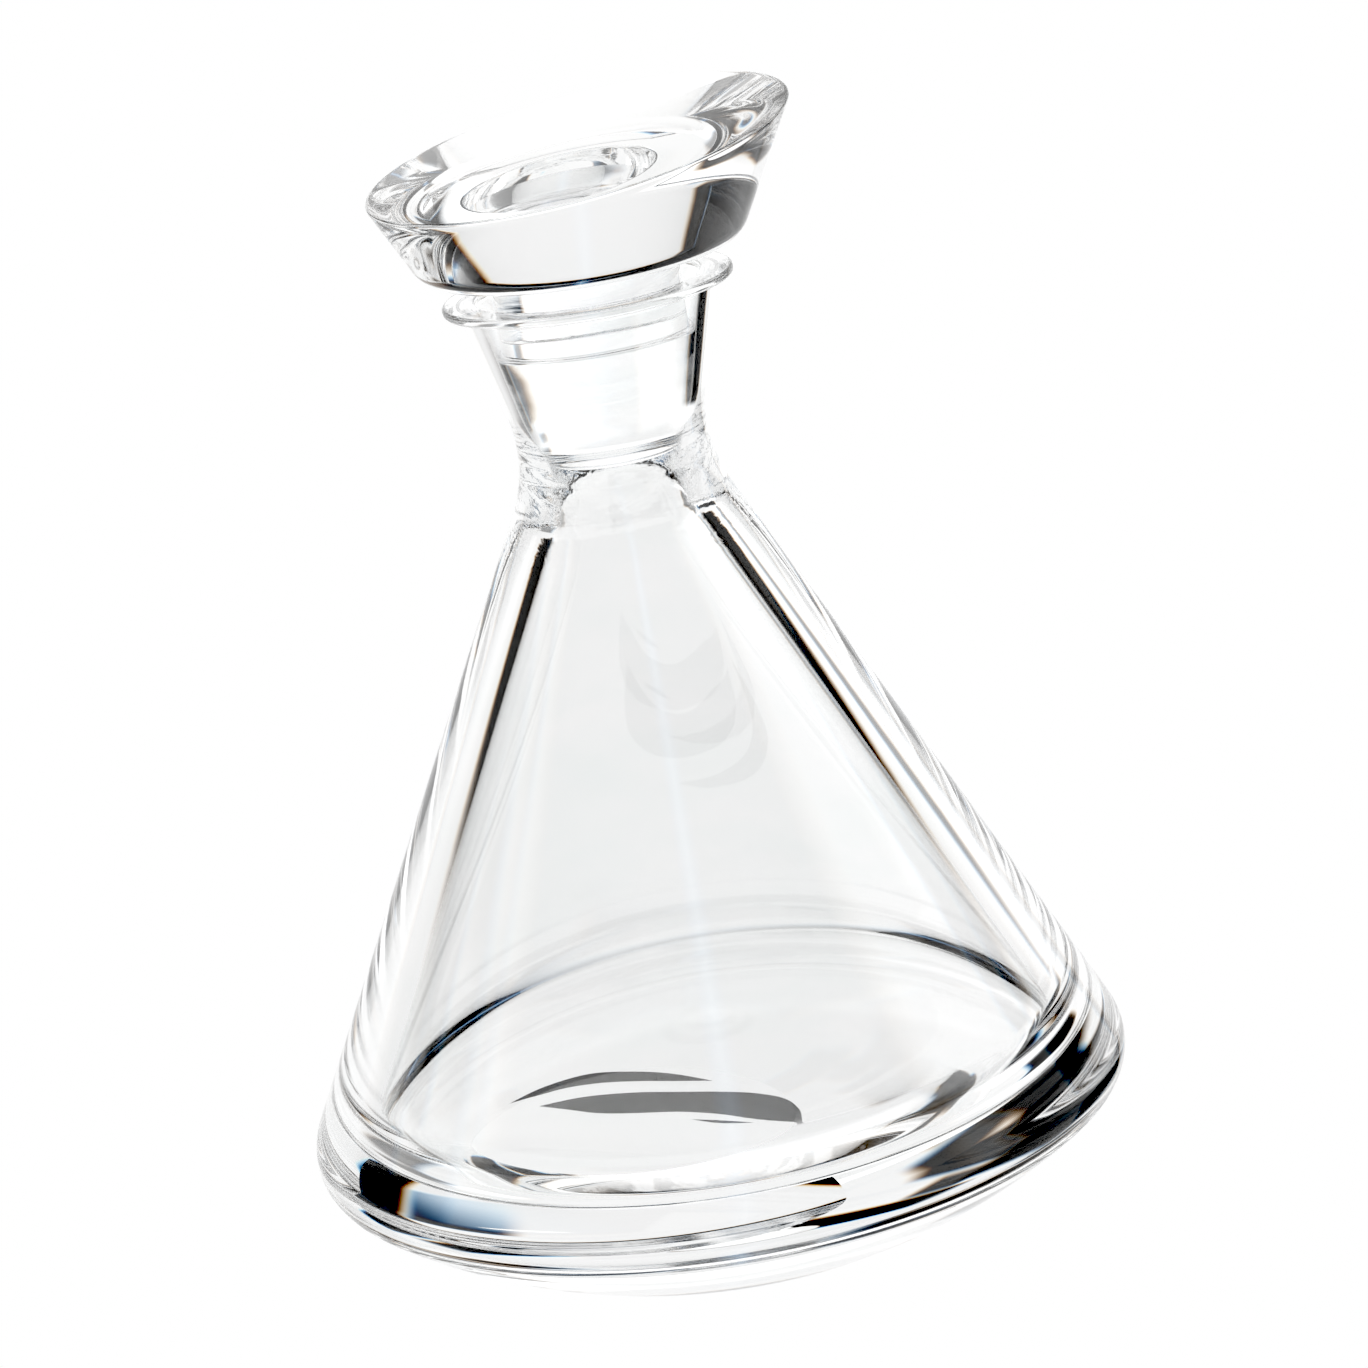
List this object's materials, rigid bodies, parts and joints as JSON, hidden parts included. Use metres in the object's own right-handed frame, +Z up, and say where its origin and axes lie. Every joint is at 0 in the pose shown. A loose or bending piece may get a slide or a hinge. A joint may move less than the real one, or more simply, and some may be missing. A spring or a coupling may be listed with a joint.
{
  "type": "wine decanter",
  "caption": "Leaning clear-crystal wine decanter: cone body on a thick domed base with a ground flat, flared neck, solid flared stopper with a slanted top that lifts out.",
  "frame": {"origin": "middle of the ground flat under the domed base, on the surface it stands on", "axes": "+Z up from the surface it stands on; the neck leans 8.93 degrees from +Z towards -X; the XZ plane is the plane of the lean and halves the vessel; the stopper's slanted top falls 7.3 degrees towards -X and -Y, 37 degrees round from the plane of the lean"},
  "size_m": [0.1738, 0.1758, 0.2484],
  "materials": {
    "body_crystal": "clear crystal, fire-polished outside, ground and polished flat underneath",
    "stopper_crystal": "clear solid crystal, cut and polished"
  },
  "bodies": {
    "vessel": {"decanter_body": "body_crystal"},
    "plug": {"stopper": "stopper_crystal"}
  },
  "joints": [
    {"name": "stopper_lift", "type": "slide", "parent": "vessel", "child": "plug", "axis": [-0.1552, 0, 0.9879], "range_m": [0, 0.06]}
  ]
}
